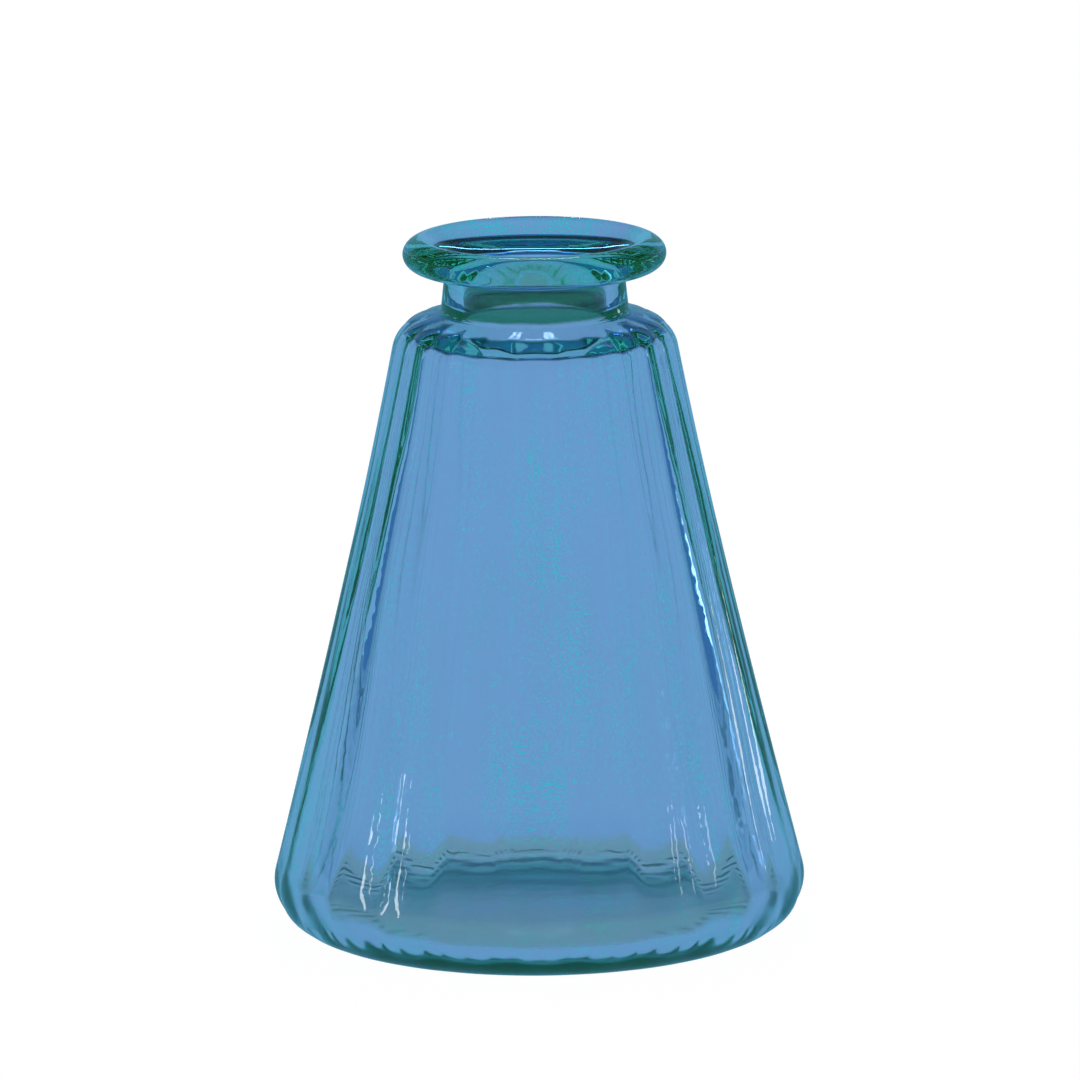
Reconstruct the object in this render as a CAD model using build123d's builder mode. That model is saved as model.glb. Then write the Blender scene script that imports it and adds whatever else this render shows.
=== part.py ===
from build123d import *
import os

# A conical, ribbed glass bud vase. It is one annealed piece of glass, modelled as the
# five zones that a glassmaker names, which meet face to face on level planes.
# Millimetres, +Z up, origin on the axis in the plane that the vase stands on.

# Outline over the rib crests
foot_radius = 40.0  # widest, at the top of the heel rounding
heel_radius = 7.2
heel_lean = 14.0  # degrees from upright where the side leaves the heel
shoulder_reach = 21.5  # outside of the shoulder rounding
shoulder_radius = 5.7
shoulder_height = 87.5  # centre of the shoulder rounding
shoulder_lean = 11.0  # degrees from upright where the side meets the shoulder
shoulder_pitch = 17.0  # slope of the shoulder's top, degrees from level

# Ribs
rib_count = 24
rib_relief = 0.021  # depth of the valley between two ribs, as a share of the radius

# Neck and rolled lip
neck_foot_radius = 14.0
neck_top_radius = 13.5
neck_rounding = 0.8  # where the neck runs out into the shoulder and the lip
lip_radius = 19.7
lip_roll_width = 3.1  # from the lip's highest ring out to its edge
lip_roll_height = 2.5  # half of the lip's thickness
lip_height = 102.6  # middle of the lip's edge
bore_radius = 11.0
mouth_depth = 5.6  # from the lip's highest ring down to the straight bore
mouth_pitch = 40.0  # slope of the mouth where it leaves that ring, degrees from level

# Cavity
foot_wall = 3.5  # wall thickness at the foot, to the rib crest
shoulder_wall = 3.2
floor_height = 3.4
floor_crown = 1.1  # rise of the floor at its middle
inner_heel_radius = 4.6
ceiling_height = 91.8  # where the cavity closes in to the bore
ceiling_rounding = 1.3

# Underside
push_up = 1.9  # hollow under the middle of the base
push_up_radius = 28.5
knurl_count = 60
knurl_gap = 1.3
knurl_depth = 0.3
knurl_radius = 32.7  # middle of the gaps between knurls
knurl_length = 5.4

# Sections that the lofts pass through
section_gap = 1.4  # along the heel and the shoulder, even so that the loft keeps its line
wall_gap = 11.0  # along the wall, which is nearly straight
rib_fade = 0.6  # share of the heel rounding over which the ribs reach full depth
rib_trace = 0.06  # share of that depth left where they die away

# Levels where the zones meet
base_level = 16.0
wall_level = 82.0
lip_level = lip_height - lip_roll_height

lip_ring_radius = lip_radius - lip_roll_width
lip_top = lip_height + lip_roll_height
rib_pitch = 360 / rib_count
push_up_dome_radius = push_up_radius**2 / (2 * push_up) + push_up / 2

# The mouth curves from the lip's highest ring down to the top of the bore
lip_ring = Vector(lip_ring_radius, lip_top)
bore_top = Vector(bore_radius, lip_top - mouth_depth)
mouth_slope = Vector(1, 0).rotate(Axis.Z, mouth_pitch)
mouth_reach = (lip_ring - bore_top).length / 3

# Outline over the crests, drawn flat: X is the radius and Y is the height
with BuildLine() as crest:
    heel = CenterArc((foot_radius - heel_radius, heel_radius), heel_radius, -90, 90 + heel_lean)
    rounding = CenterArc(
        (shoulder_reach - shoulder_radius, shoulder_height),
        shoulder_radius,
        shoulder_lean,
        90 - shoulder_pitch - shoulder_lean,
    )
    side = Spline(heel @ 1, rounding @ 0, tangents=(heel % 1, rounding % 0))

    slope_run = (rounding @ 1).X - neck_foot_radius - neck_rounding
    slope = Line(rounding @ 1, rounding @ 1 - (rounding % 1) * (slope_run / (rounding % 1).X))

neck_level = (slope @ 1).Y


def side_at(height):
    """The point of the side at a height."""
    low, high = 0.0, 1.0
    for halving in range(40):
        middle = (low + high) / 2
        if (side @ middle).Y < height:
            low = middle
        else:
            high = middle
    return side @ low


def ribbed_face(point, strength=1.0):
    """Level section at an outline point: one arc for each rib, creased between ribs."""
    crest_point = Vector(point.X, 0)
    valley_point = crest_point * (1 - rib_relief * strength)
    with BuildSketch(Plane.XY.offset(point.Y)) as section:
        with BuildLine():
            for rib in range(rib_count):
                ThreePointArc(
                    valley_point.rotate(Axis.Z, (rib - 0.5) * rib_pitch),
                    crest_point.rotate(Axis.Z, rib * rib_pitch),
                    valley_point.rotate(Axis.Z, (rib + 0.5) * rib_pitch),
                )
        make_face()
    return section.sketch


def shares(length, gap=section_gap):
    """Even shares from 0 to 1 along a length, near to the gap asked for."""
    count = round(length / gap)
    return [step / count for step in range(count + 1)]


def side_faces(low, high, gap=section_gap):
    """Even level sections of the side between two heights."""
    return [ribbed_face(side_at(low + (high - low) * share)) for share in shares(high - low, gap)]


# The space inside, from the floor to the mouth
inner_foot_radius = foot_radius - foot_wall
inner_heel_centre = (inner_foot_radius - inner_heel_radius, floor_height + inner_heel_radius)
floor_dome_radius = inner_heel_centre[0] ** 2 / (2 * floor_crown) + floor_crown / 2
with BuildPart() as cavity:
    with BuildSketch(Plane.XZ):
        with BuildLine():
            floor = RadiusArc(
                (0, floor_height + floor_crown),
                (inner_heel_centre[0], floor_height),
                floor_dome_radius,
            )
            inner_heel = CenterArc(inner_heel_centre, inner_heel_radius, -90, 90 + heel_lean)
            ceiling = CenterArc(
                rounding.arc_center,
                shoulder_radius - shoulder_wall,
                shoulder_lean,
                90 - shoulder_pitch - shoulder_lean,
            )
            Spline(inner_heel @ 1, ceiling @ 0, tangents=(inner_heel % 1, ceiling % 0))
            mouth = Bezier(
                lip_ring,
                lip_ring - mouth_slope * mouth_reach,
                bore_top + Vector(0, mouth_reach),
                bore_top,
            )
            FilletPolyline(
                ceiling @ 1,
                (bore_radius, ceiling_height),
                mouth @ 1,
                radius=ceiling_rounding,
            )
            Polyline(mouth @ 0, (0, lip_top), floor @ 0)
        make_face()
    revolve(axis=Axis.Z)

# Heel and floor, with the push-up and the knurled ring that it stands on
with BuildPart() as base:
    heel_faces = [
        ribbed_face(heel @ share, strength=min(1, rib_trace + share / rib_fade))
        for share in shares(heel.length)
    ]
    loft(heel_faces[:-1] + side_faces((heel @ 1).Y, base_level))
    add(cavity.part, mode=Mode.SUBTRACT)
    with BuildSketch(Plane.XZ):
        with BuildLine():
            dome = RadiusArc((0, push_up), (push_up_radius, 0), push_up_dome_radius)
            Polyline(dome @ 1, (0, 0), dome @ 0)
        make_face()
    revolve(axis=Axis.Z, mode=Mode.SUBTRACT)
    with PolarLocations(knurl_radius, knurl_count):
        Box(knurl_length, knurl_gap, 2 * knurl_depth, mode=Mode.SUBTRACT)
base.part.label = "base"

# Ribbed conical wall
with BuildPart() as body_wall:
    loft(side_faces(base_level, wall_level, wall_gap))
    add(cavity.part, mode=Mode.SUBTRACT)
body_wall.part.label = "body_wall"

# Shoulder, where the ribs run in to the foot of the neck
with BuildPart() as shoulder:
    rounding_faces = [ribbed_face(rounding @ share) for share in shares(rounding.length)]
    slope_faces = [
        ribbed_face(slope @ share, strength=1 - share * (1 - rib_trace))
        for share in shares(slope.length)
    ]
    loft(side_faces(wall_level, (rounding @ 0).Y) + rounding_faces[1:] + slope_faces[1:])
    add(cavity.part, mode=Mode.SUBTRACT)
shoulder.part.label = "shoulder"

# Neck, running out into the shoulder below and the lip above
with BuildPart() as neck:
    with BuildSketch(Plane.XZ):
        with BuildLine():
            run_out = CenterArc(
                (neck_foot_radius + neck_rounding, neck_level + neck_rounding),
                neck_rounding,
                180,
                90,
            )
            run_in = CenterArc(
                (neck_top_radius + neck_rounding, lip_level - neck_rounding),
                neck_rounding,
                90,
                90,
            )
            Line(run_in @ 1, run_out @ 0)
            Polyline(run_out @ 1, (0, neck_level), (0, lip_level), run_in @ 0)
        make_face()
    revolve(axis=Axis.Z)
    add(cavity.part, mode=Mode.SUBTRACT)
neck.part.label = "neck"

# Rolled lip around the mouth
with BuildPart() as rolled_lip:
    with BuildSketch(Plane.XZ):
        with BuildLine():
            roll = EllipticalCenterArc(
                (lip_ring_radius, lip_height),
                lip_roll_width,
                lip_roll_height,
                start_angle=-90,
                arc_size=180,
            )
            Polyline(roll @ 1, (0, lip_top), (0, lip_level), roll @ 0)
        make_face()
    revolve(axis=Axis.Z)
    add(cavity.part, mode=Mode.SUBTRACT)
rolled_lip.part.label = "rolled_lip"

os.makedirs("parts", exist_ok=True)
for zone in (base, body_wall, shoulder, neck, rolled_lip):
    export_step(zone.part, f"parts/{zone.part.label}.step")
    print(zone.part.label, round(zone.part.volume / 1000, 2), "cm3")
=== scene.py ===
import math
import bmesh
import bpy
from mathutils import Matrix, Vector, geometry, noise


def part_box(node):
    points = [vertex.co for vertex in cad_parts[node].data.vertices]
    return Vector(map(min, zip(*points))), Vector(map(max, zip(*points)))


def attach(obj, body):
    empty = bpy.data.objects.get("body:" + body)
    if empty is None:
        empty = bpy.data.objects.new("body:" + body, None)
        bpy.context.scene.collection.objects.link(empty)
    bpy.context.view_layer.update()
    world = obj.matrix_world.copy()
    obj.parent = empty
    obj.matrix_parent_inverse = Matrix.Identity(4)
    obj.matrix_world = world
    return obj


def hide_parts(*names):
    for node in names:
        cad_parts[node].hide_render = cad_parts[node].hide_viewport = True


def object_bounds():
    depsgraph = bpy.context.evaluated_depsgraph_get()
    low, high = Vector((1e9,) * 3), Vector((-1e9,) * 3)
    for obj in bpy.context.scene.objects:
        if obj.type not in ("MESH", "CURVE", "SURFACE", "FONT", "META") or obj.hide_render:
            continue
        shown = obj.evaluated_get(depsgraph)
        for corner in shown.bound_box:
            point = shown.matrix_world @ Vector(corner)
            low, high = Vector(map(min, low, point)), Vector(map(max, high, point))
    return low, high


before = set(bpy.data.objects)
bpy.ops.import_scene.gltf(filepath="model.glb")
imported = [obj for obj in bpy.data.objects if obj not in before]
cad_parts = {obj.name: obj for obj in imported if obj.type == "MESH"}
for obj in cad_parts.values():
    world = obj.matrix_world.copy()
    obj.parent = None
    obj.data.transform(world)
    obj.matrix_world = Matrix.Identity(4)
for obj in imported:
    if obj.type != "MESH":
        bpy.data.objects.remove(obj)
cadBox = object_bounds()

mm = 0.001
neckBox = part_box("neck")
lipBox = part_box("rolled_lip")

# The vase's outline, in metres and radians; levels and widths come from the frame
outline = {
    "footRadius": cadBox[1][0],
    "heelRound": 7.2 * mm,
    "heelLean": math.radians(14),
    "shoulderReach": 21.5 * mm,
    "shoulderRound": 5.7 * mm,
    "shoulderHeight": 87.5 * mm,
    "shoulderLean": math.radians(11),
    "shoulderPitch": math.radians(17),
    "neckFootRadius": 14.0 * mm,
    "neckTopRadius": 13.5 * mm,
    "neckRound": 0.8 * mm,
    "lipRollWidth": 3.1 * mm,
    "boreRadius": 11 * mm,
    "mouthDepth": 5.6 * mm,
    "mouthPitch": math.radians(40),
    "footWall": 3.5 * mm,
    "shoulderWall": 3.2 * mm,
    "innerShoulderRound": 1.0 * mm,
    "floorHeight": 3.4 * mm,
    "floorCrown": 1.1 * mm,
    "innerHeelRound": 4.6 * mm,
    "ceilingHeight": 91.8 * mm,
    "ceilingRound": 1.3 * mm,
    "pushUp": 1.9 * mm,
    "pushUpRadius": 28.5 * mm,
}
# How many edges each stretch of the outline is drawn with, and steps round the axis
steps = {
    "dome": 8,
    "standing": 6,
    "heel": 24,
    "side": 24,
    "shoulder": 12,
    "slope": 3,
    "neckRound": 5,
    "neck": 5,
    "lipFoot": 2,
    "roll": 22,
    "mouth": 12,
    "bore": 5,
    "corner": 8,
    "ceiling": 2,
    "innerShoulder": 8,
    "innerSide": 20,
    "innerHeel": 16,
    "floor": 8,
    "turn": 456,
}
# Reliefs are shares of the radius; fades are how far the ribs take to reach full depth
ribs = {
    "count": 24,
    "footRelief": 0.012,
    "shoulderRelief": 0.023,
    "crease": 0.3,
    "wander": 0.16,
    "unevenness": 0.3,
    "heelFade": 5 * mm,
    "trace": 0.06,
    "neckFade": 2.4 * mm,
}
knurls = {"count": 60, "depth": 0.3 * mm, "inner": 30 * mm, "outer": 35.4 * mm}
waves = {
    "size": 16 * mm,
    "stretch": 2.2,
    "outer": 0.10 * mm,
    "inner": 0.28 * mm,
    "above": 12 * mm,
    "swell": 1.3,
    "rib": 2,
    "seed": (Vector((7, 3, 1)), Vector((2, 9, 5)), Vector((4, 4, 8))),
}


def lineTo(mesh, tip, radius, height, count):
    start = tip.co.copy()
    for step in range(count):
        tip = bmesh.ops.extrude_vert_indiv(mesh, verts=[tip])["verts"][0]
        tip.co = start.lerp(Vector((radius, 0, height)), (step + 1) / count)
    return tip


def arcTo(mesh, tip, centre, turn, count, widen=1.0):
    middle = Vector((centre[0], 0, centre[1]))
    spun = bmesh.ops.spin(mesh, geom=[tip], cent=middle, axis=(0, -1, 0), angle=turn, steps=count)
    mesh.verts.index_update()
    drawn = [vert for vert in mesh.verts if vert.index > tip.index]
    bmesh.ops.scale(mesh, vec=(widen, 1, 1), space=Matrix.Translation(-middle), verts=drawn)
    return [item for item in spun["geom_last"] if isinstance(item, bmesh.types.BMVert)][0]


def curveTo(mesh, tip, leave, goal, arrive, count):
    reach = (goal - tip.co).length / 3
    points = geometry.interpolate_bezier(
        tip.co, tip.co + leave * reach, goal - arrive * reach, goal, count + 1
    )
    for point in points[1:]:
        tip = lineTo(mesh, tip, point.x, point.z, 1)
    return tip


def along(angle):
    return Vector((math.cos(angle), 0, math.sin(angle)))


def drawOutline(mesh):
    o = outline
    quarter = math.pi / 2
    heelX = o["footRadius"] - o["heelRound"]
    domeRadius = o["pushUpRadius"] ** 2 / (2 * o["pushUp"]) + o["pushUp"] / 2
    domeTurn = math.asin(o["pushUpRadius"] / domeRadius)
    tip = mesh.verts.new((0, 0, o["pushUp"]))
    tip = arcTo(mesh, tip, (0, o["pushUp"] - domeRadius), -domeTurn, steps["dome"])
    tip = lineTo(mesh, tip, heelX, 0, steps["standing"])
    tip = arcTo(mesh, tip, (heelX, o["heelRound"]), quarter + o["heelLean"], steps["heel"])

    shoulderX = o["shoulderReach"] - o["shoulderRound"]
    shoulder = Vector((shoulderX, 0, o["shoulderHeight"]))
    goal = shoulder + along(o["shoulderLean"]) * o["shoulderRound"]
    leave, arrive = along(quarter + o["heelLean"]), along(quarter + o["shoulderLean"])
    tip = curveTo(mesh, tip, leave, goal, arrive, steps["side"])
    roundTurn = quarter - o["shoulderPitch"] - o["shoulderLean"]
    tip = arcTo(mesh, tip, (shoulderX, o["shoulderHeight"]), roundTurn, steps["shoulder"])

    neckX = o["neckFootRadius"] + o["neckRound"]
    tip = lineTo(mesh, tip, neckX, neckBox[0][2], steps["slope"])
    tip = arcTo(mesh, tip, (neckX, tip.co.z + o["neckRound"]), -quarter, steps["neckRound"])
    lipX = o["neckTopRadius"] + o["neckRound"]
    lipLevel = lipBox[0][2]
    tip = lineTo(mesh, tip, o["neckTopRadius"], lipLevel - o["neckRound"], steps["neck"])
    tip = arcTo(mesh, tip, (lipX, lipLevel - o["neckRound"]), -quarter, steps["neckRound"])

    lipTop = lipBox[1][2]
    ringX = lipBox[1][0] - o["lipRollWidth"]
    rollHeight = (lipTop - lipLevel) / 2
    tip = lineTo(mesh, tip, ringX, lipLevel, steps["lipFoot"])
    widen = o["lipRollWidth"] / rollHeight
    tip = arcTo(mesh, tip, (ringX, lipLevel + rollHeight), 2 * quarter, steps["roll"], widen)
    goal = Vector((o["boreRadius"], 0, lipTop - o["mouthDepth"]))
    leave, arrive = along(math.pi + o["mouthPitch"]), along(-quarter)
    tip = curveTo(mesh, tip, leave, goal, arrive, steps["mouth"])
    outerRows = len(mesh.verts)

    # Down the bore, round into the cavity and down its wall to the middle of the floor
    innerRound = o["innerShoulderRound"]
    shift = (o["shoulderRound"] - o["shoulderWall"] - innerRound) / math.cos(roundTurn / 2)
    innerShoulder = shoulder + along(o["shoulderLean"] + roundTurn / 2) * shift
    ceilingEnd = innerShoulder + along(quarter - o["shoulderPitch"]) * innerRound
    drop = math.atan2(o["ceilingHeight"] - ceilingEnd.z, ceilingEnd.x - o["boreRadius"])
    cornerTurn = quarter - drop
    cornerZ = o["ceilingHeight"] + o["ceilingRound"] * math.tan(cornerTurn / 2)
    cornerX = o["boreRadius"] + o["ceilingRound"]
    tip = lineTo(mesh, tip, o["boreRadius"], cornerZ, steps["bore"])
    tip = arcTo(mesh, tip, (cornerX, cornerZ), cornerTurn, steps["corner"])
    tip = lineTo(mesh, tip, ceilingEnd.x, ceilingEnd.z, steps["ceiling"])
    innerCentre = (innerShoulder.x, innerShoulder.z)
    tip = arcTo(mesh, tip, innerCentre, -roundTurn, steps["innerShoulder"])

    heelZ = o["floorHeight"] + o["innerHeelRound"]
    innerHeel = Vector((o["footRadius"] - o["footWall"] - o["innerHeelRound"], 0, heelZ))
    goal = innerHeel + along(o["heelLean"]) * o["innerHeelRound"]
    leave, arrive = along(o["shoulderLean"] - quarter), along(o["heelLean"] - quarter)
    tip = curveTo(mesh, tip, leave, goal, arrive, steps["innerSide"])
    tip = arcTo(mesh, tip, (innerHeel.x, heelZ), -quarter - o["heelLean"], steps["innerHeel"])
    floorRadius = innerHeel.x**2 / (2 * o["floorCrown"]) + o["floorCrown"] / 2
    floorTurn = math.asin(innerHeel.x / floorRadius)
    floorCentre = (0, o["floorHeight"] + o["floorCrown"] - floorRadius)
    arcTo(mesh, tip, floorCentre, floorTurn, steps["floor"])
    return outerRows


def ribStrength(radius, height):
    if height > neckBox[0][2]:
        return 0
    rise = min(1, ribs["trace"] + height / ribs["heelFade"])
    run = (radius - outline["neckFootRadius"] - outline["neckRound"]) / ribs["neckFade"]
    share = height / outline["shoulderHeight"]
    relief = ribs["footRelief"] + (ribs["shoulderRelief"] - ribs["footRelief"]) * share
    return relief * rise * max(0, min(1, run))


def ribValley(angle, drift):
    phase = angle * ribs["count"] / math.tau + ribs["wander"] * drift
    phase = abs((phase + 0.5) % 1 - 0.5) * 2
    soft = ribs["crease"]
    if phase > 1 - soft:
        phase = 1 - soft / 2 - (1 - phase) ** 2 / (2 * soft)
    return phase**2


# Ribs, foot knurls and the slow waves of hand-finished glass, all pressed inwards
def pressVert(vert, relief, outside):
    radius = vert.co.xy.length
    if radius < 1 * mm:
        return
    angle = math.atan2(vert.co.y, vert.co.x)
    spot = Vector((vert.co.x, vert.co.y, vert.co.z / waves["stretch"])) / waves["size"]
    seed = waves["seed"]
    drift = noise.noise(spot + seed[0])
    swell = 0.5 + 0.5 * noise.noise(spot * waves["swell"] + seed[1])
    push = 0
    if relief > 0:
        uneven = 1 + ribs["unevenness"] * noise.noise(spot * waves["rib"] + seed[2])
        push = radius * relief * uneven * ribValley(angle, drift)
        push += waves["outer"] * swell * min(1, vert.co.z / waves["above"])
    elif not outside and vert.co.z > waves["above"]:
        push = waves["inner"] * (swell - 0.3)
    vert.co.x *= 1 - push / radius
    vert.co.y *= 1 - push / radius
    if knurls["inner"] < radius < knurls["outer"] and vert.co.z < 0.1 * mm:
        tooth = abs((angle * knurls["count"] / math.tau) % 1 - 0.5) * 2
        share = (radius - knurls["inner"]) / (knurls["outer"] - knurls["inner"])
        across = math.sin(math.pi * share)
        vert.co.z += knurls["depth"] * across * max(0, min(1, 2.4 * tooth - 0.9))


def makeGlass():
    mesh = bmesh.new()
    outerRows = drawOutline(mesh)
    strength = mesh.verts.layers.float.new("rib")
    skin = mesh.verts.layers.float.new("skin")
    mesh.verts.ensure_lookup_table()
    for row, vert in enumerate(mesh.verts):
        if row < outerRows:
            vert[strength] = ribStrength(vert.co.x, vert.co.z)
            vert[skin] = 1
    print("outline rows", len(mesh.verts), "outer", outerRows)
    bmesh.ops.spin(
        mesh,
        geom=mesh.verts[:] + mesh.edges[:],
        cent=(0, 0, 0),
        axis=(0, 0, 1),
        angle=math.tau,
        steps=steps["turn"],
        use_merge=True,
    )
    bmesh.ops.remove_doubles(mesh, verts=mesh.verts, dist=0.001 * mm)
    bmesh.ops.recalc_face_normals(mesh, faces=mesh.faces)
    for vert in mesh.verts:
        pressVert(vert, vert[strength], vert[skin] > 0)
    for face in mesh.faces:
        face.smooth = True
    data = bpy.data.meshes.new("vaseGlass")
    mesh.to_mesh(data)
    mesh.free()
    glass = bpy.data.objects.new("vaseGlass", data)
    bpy.context.collection.objects.link(glass)
    print("glass faces", len(data.polygons))
    return glass


# The glass itself: a blue skin and a green body, which shows where it is thick. The inside is
# clear but for the tones below, each a height, a soft edge and a colour: a warm tint on the
# floor, a dark green band of painted shade round the neck and a dark crescent of painted
# reflection in the mouth
tint = {
    "skin": (0.188, 0.332, 0.690, 1),
    "body": (0.0, 0.93, 0.64, 1),
    "bodyDensity": 40,
    "ior": 1.5,
    "floorHaze": 0.16,
    "flake": (0.022, 0.57, 0.65, 1),
    "flakeEdge": (0.64, 0.71),
    "flakeLip": 0.085,
    "flakeSize": 0.34 * mm,
    "flakePatch": 8 * mm,
    "flakeTrail": 5,
    "flakeSpread": 0.6,
    "toneTop": 110 * mm,
    "toneDrift": 1.2 * mm,
    "toneDriftSize": 7 * mm,
    "dimple": 0.03 * mm,
    "dimpleSize": 5 * mm,
}
innerTintsAndPaintedShade = (
    (0 * mm, (1.0, 0.90, 0.52, 1)),
    (4.2 * mm, (1.0, 0.90, 0.52, 1)),
    (5.0 * mm, (1, 1, 1, 1)),
    (93.4 * mm, (1, 1, 1, 1)),
    # painted shade: a dark green band inside the neck, darkening the light seen through it
    (93.9 * mm, (0.01, 0.20, 0.05, 1)),
    (96.5 * mm, (0.01, 0.20, 0.05, 1)),
    (96.9 * mm, (1, 1, 1, 1)),
    (100.7 * mm, (1, 1, 1, 1)),
    # painted reflection: a near-black crescent in the mouth, standing in for a dark reflection
    (101.1 * mm, (0.02, 0.02, 0.06, 1)),
    (101.5 * mm, (0.02, 0.02, 0.06, 1)),
    (101.9 * mm, (1, 1, 1, 1)),
)


def noiseNode(nodes, links, place, size, detail, stretch=1):
    node = nodes.new("ShaderNodeTexNoise")
    node.inputs["Scale"].default_value = 1 / size
    node.inputs["Detail"].default_value = detail
    flat = nodes.new("ShaderNodeVectorMath")
    flat.operation = "MULTIPLY"
    flat.inputs[1].default_value = (1, 1, 1 / stretch)
    links.new(place.outputs["Object"], flat.inputs[0])
    links.new(flat.outputs[0], node.inputs["Vector"])
    return node


def rampNode(nodes, links, source, stops):
    node = nodes.new("ShaderNodeValToRGB")
    elements = node.color_ramp.elements
    for index, (position, color) in enumerate(stops):
        element = elements[index] if index < 2 else elements.new(position)
        element.position = position
        element.color = color
    links.new(source, node.inputs["Fac"])
    return node


def mixNode(nodes, links, factor, first, second):
    node = nodes.new("ShaderNodeMix")
    node.data_type = "RGBA"
    links.new(factor, node.inputs[0])
    for socket, value in ((node.inputs[6], first), (node.inputs[7], second)):
        if isinstance(value, tuple):
            socket.default_value = value
        else:
            links.new(value, socket)
    return node


def mathNode(nodes, links, operation, first, second):
    node = nodes.new("ShaderNodeMath")
    node.operation = operation
    for socket, value in ((node.inputs[0], first), (node.inputs[1], second)):
        if isinstance(value, (int, float)):
            socket.default_value = value
        else:
            links.new(value, socket)
    return node.outputs[0]


def glassMaterial():
    material = bpy.data.materials.new("ribbedGlass")
    material.use_nodes = True
    nodes = material.node_tree.nodes
    links = material.node_tree.links
    shader = nodes["Principled BSDF"]
    place = nodes.new("ShaderNodeTexCoord")
    side = nodes.new("ShaderNodeAttribute")
    side.attribute_name = "skin"

    split = nodes.new("ShaderNodeSeparateXYZ")
    links.new(place.outputs["Object"], split.inputs[0])
    drift = noiseNode(nodes, links, place, tint["toneDriftSize"], 1)
    drift = mathNode(nodes, links, "MULTIPLY", drift.outputs["Fac"], tint["toneDrift"])
    level = mathNode(nodes, links, "ADD", split.outputs["Z"], drift)
    level = mathNode(nodes, links, "SUBTRACT", level, tint["toneDrift"] / 2)
    level = mathNode(nodes, links, "DIVIDE", level, tint["toneTop"])
    stops = [(height / tint["toneTop"], color) for height, color in innerTintsAndPaintedShade]
    # the inside's colour by height: clear, a warm floor tint, a band of painted shade in the neck
    # and a crescent of painted reflection in the mouth
    inner = rampNode(nodes, links, level, stops)

    flakes = noiseNode(nodes, links, place, tint["flakeSize"], 1)
    patch = noiseNode(nodes, links, place, tint["flakePatch"], 3, tint["flakeTrail"])
    lip = rampNode(nodes, links, level, [(0.86, (0, 0, 0, 1)), (0.93, (1, 1, 1, 1))])
    lip = mathNode(nodes, links, "MULTIPLY", lip.outputs["Color"], tint["flakeLip"])
    patch = mathNode(nodes, links, "MULTIPLY", patch.outputs["Fac"], tint["flakeSpread"])
    flakes = mathNode(nodes, links, "ADD", flakes.outputs["Fac"], patch)
    flakes = mathNode(nodes, links, "ADD", flakes, lip)
    flakes = mathNode(nodes, links, "SUBTRACT", flakes, tint["flakeSpread"] / 2)
    edge = tint["flakeEdge"]
    flakes = rampNode(nodes, links, flakes, [(edge[0], (0, 0, 0, 1)), (edge[1], (1, 1, 1, 1))])
    skin = mixNode(nodes, links, flakes.outputs["Color"], tint["skin"], tint["flake"])
    color = mixNode(nodes, links, side.outputs["Fac"], inner.outputs["Color"], skin.outputs[2])
    links.new(color.outputs[2], shader.inputs["Base Color"])

    shader.inputs["Transmission Weight"].default_value = 1
    shader.inputs["IOR"].default_value = tint["ior"]
    haze = rampNode(nodes, links, level, [(0.07, (1, 1, 1, 1)), (0.12, (0, 0, 0, 1))])
    inside = mathNode(nodes, links, "SUBTRACT", 1, side.outputs["Fac"])
    haze = mathNode(nodes, links, "MULTIPLY", haze.outputs["Color"], inside)
    haze = mathNode(nodes, links, "MULTIPLY", haze, tint["floorHaze"])
    links.new(haze, shader.inputs["Roughness"])
    dimples = noiseNode(nodes, links, place, tint["dimpleSize"], 2)
    bump = nodes.new("ShaderNodeBump")
    bump.inputs["Distance"].default_value = tint["dimple"]
    links.new(dimples.outputs["Fac"], bump.inputs["Height"])
    links.new(bump.outputs["Normal"], shader.inputs["Normal"])
    body = nodes.new("ShaderNodeVolumeAbsorption")
    body.inputs["Color"].default_value = tint["body"]
    body.inputs["Density"].default_value = tint["bodyDensity"]
    links.new(body.outputs["Volume"], nodes["Material Output"].inputs["Volume"])
    print("glass material", len(nodes), "nodes")
    return material


glass = makeGlass()
glass.data.materials.append(glassMaterial())
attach(glass, "root")
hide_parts("base", "body_wall", "shoulder", "neck", "rolled_lip")

# Studio: a pale lit floor, a bright horizon under a dim ceiling, and a few small windows,
# each an azimuth and a rise in degrees, a width and a height in metres, and a brightness
studio = {
    "floorRadius": 4.0,
    "floorColor": (0.12, 0.12, 0.12, 1),
    "floorGlow": 0.98,
    "below": (0.11, 0.34, 0.52, 1),
    "sheen": (0.16, 0.36, 0.55, 1),
    "horizon": (1, 1, 1, 1),
    "ceiling": (0.06, 0.06, 0.06, 1),
    "horizonEdge": 0.22,
    "ceilingEdge": 0.45,
    "windowDistance": 1.2,
    "windows": (
        (-166, 7.9, 0.22, 0.014, 9),
        (-160, 9.4, 0.10, 0.003, 8),
        (-18, 9.4, 0.08, 0.004, 6),
        (-12, 8.3, 0.12, 0.008, 4),
        (35, 0.8, 0.12, 0.03, 4),
        (90, 46, 0.24, 0.03, 10),
    ),
}


def makeFloor():
    mesh = bmesh.new()
    bmesh.ops.create_circle(mesh, cap_ends=True, segments=96, radius=studio["floorRadius"])
    data = bpy.data.meshes.new("studioFloor")
    mesh.to_mesh(data)
    mesh.free()
    floor = bpy.data.objects.new("studioFloor", data)
    bpy.context.collection.objects.link(floor)
    material = bpy.data.materials.new("paleFloor")
    material.use_nodes = True
    shader = material.node_tree.nodes["Principled BSDF"]
    shader.inputs["Base Color"].default_value = studio["floorColor"]
    shader.inputs["Roughness"].default_value = 0.9
    shader.inputs["Specular IOR Level"].default_value = 0
    shader.inputs["Emission Color"].default_value = (1, 1, 1, 1)
    shader.inputs["Emission Strength"].default_value = studio["floorGlow"]
    data.materials.append(material)
    floor.visible_glossy = False
    return floor


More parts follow.
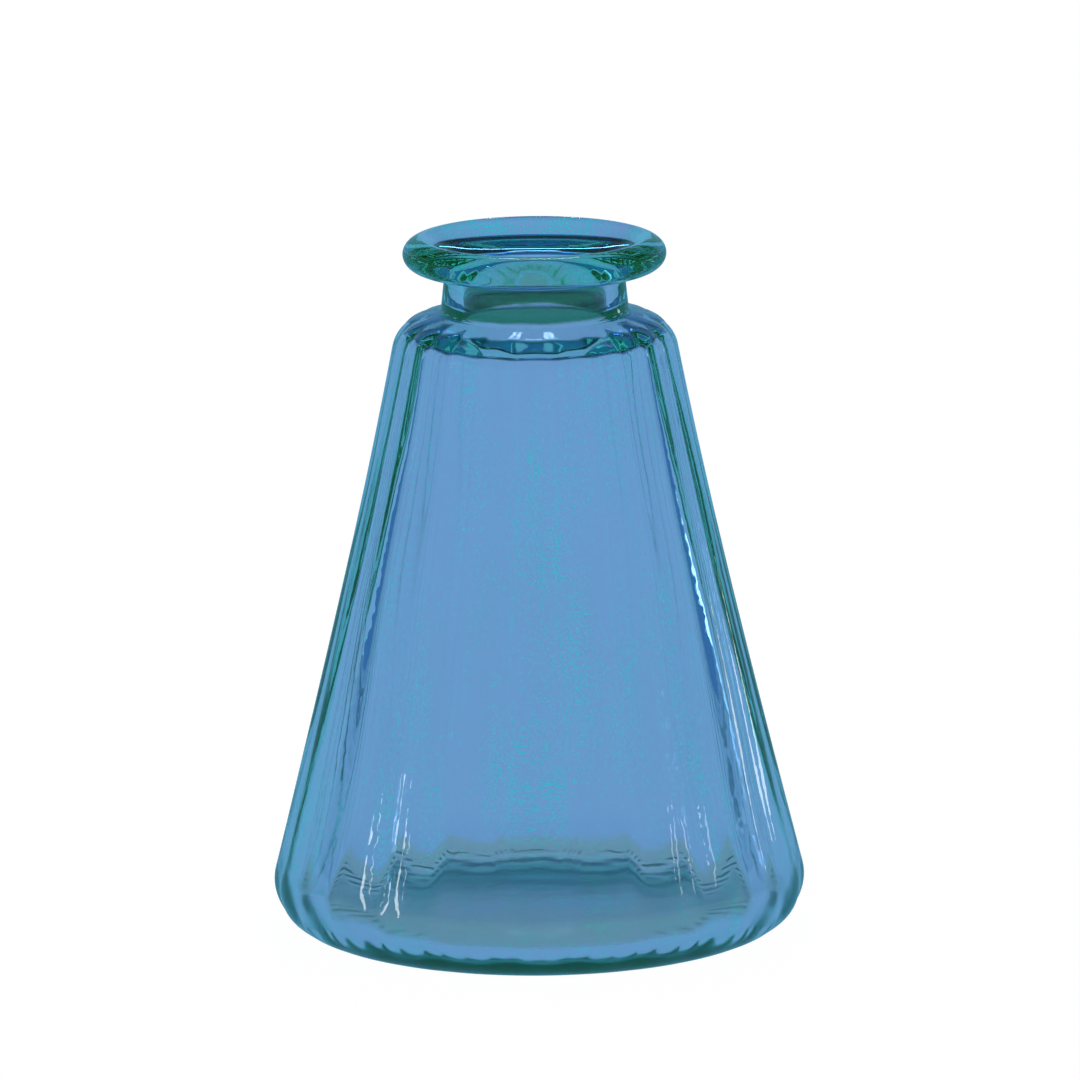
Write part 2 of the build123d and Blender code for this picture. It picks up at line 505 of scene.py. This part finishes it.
def makeWindow(azimuth, rise, width, height, brightness):
    data = bpy.data.lights.new("windowLight", "AREA")
    data.shape = "RECTANGLE"
    data.size, data.size_y = width, height
    data.energy = brightness * math.pi * width * height
    window = bpy.data.objects.new("windowLight", data)
    bpy.context.collection.objects.link(window)
    rise = math.radians(rise)
    turn = math.radians(azimuth)
    level = math.cos(rise)
    away = Vector((math.cos(turn) * level, math.sin(turn) * level, math.sin(rise)))
    window.location = away * studio["windowDistance"]
    window.rotation_euler = away.to_track_quat("Z", "Y").to_euler()
    window.visible_camera = False


def makeWorld():
    world = bpy.data.worlds.new("studioLight")
    bpy.context.scene.world = world
    world.use_nodes = True
    nodes = world.node_tree.nodes
    links = world.node_tree.links
    place = nodes.new("ShaderNodeTexCoord")
    split = nodes.new("ShaderNodeSeparateXYZ")
    links.new(place.outputs["Generated"], split.inputs[0])
    height = mathNode(nodes, links, "MULTIPLY", split.outputs["Z"], 0.5)
    height = mathNode(nodes, links, "ADD", height, 0.5)
    stops = (
        (0.49, studio["below"]),
        (0.5, studio["horizon"]),
        (0.5 + studio["horizonEdge"] / 2, studio["horizon"]),
        (0.5 + studio["ceilingEdge"] / 2, studio["ceiling"]),
    )
    ramp = rampNode(nodes, links, height, stops)
    # Reflections on the glass see a dimmer blue room, as through a polarising filter
    stops = (
        (0.49, studio["below"]),
        (0.5, studio["sheen"]),
        (0.5 + studio["horizonEdge"] / 2, studio["sheen"]),
        (0.5 + studio["ceilingEdge"] / 2, studio["ceiling"]),
    )
    dimmed = rampNode(nodes, links, height, stops)
    path = nodes.new("ShaderNodeLightPath").outputs["Is Glossy Ray"]
    room = mixNode(nodes, links, path, ramp.outputs["Color"], dimmed.outputs["Color"])
    links.new(room.outputs[2], nodes["Background"].inputs["Color"])


makeFloor()
for window in studio["windows"]:
    makeWindow(*window)
makeWorld()
print("studio windows", len(studio["windows"]))

camera = {
    "aim": Vector((0.5 * mm, 0, 58.8 * mm)),
    "distance": 1.65,
    "rise": 0.21,
    "roll": -0.0079,
    "lens": 366.7,
    "sensor": 36,
}


def makeCamera():
    data = bpy.data.cameras.new("camera")
    data.lens = camera["lens"]
    data.sensor_width = camera["sensor"]
    data.clip_end = 50
    eye = bpy.data.objects.new("camera", data)
    bpy.context.collection.objects.link(eye)
    roll = Matrix.Rotation(camera["roll"], 4, "Z")
    turn = Matrix.Rotation(math.pi / 2 - camera["rise"], 4, "X") @ roll
    back = Vector((0, -math.cos(camera["rise"]), math.sin(camera["rise"]))) * camera["distance"]
    eye.matrix_world = Matrix.Translation(camera["aim"] + back) @ turn
    bpy.context.scene.camera = eye
    print("camera lens", data.lens)


makeCamera()
for kind in ("max", "glossy", "transmission"):
    setattr(bpy.context.scene.cycles, kind + "_bounces", 32)
bpy.context.scene.view_settings.view_transform = "Standard"
bpy.context.scene.view_settings.look = "None"
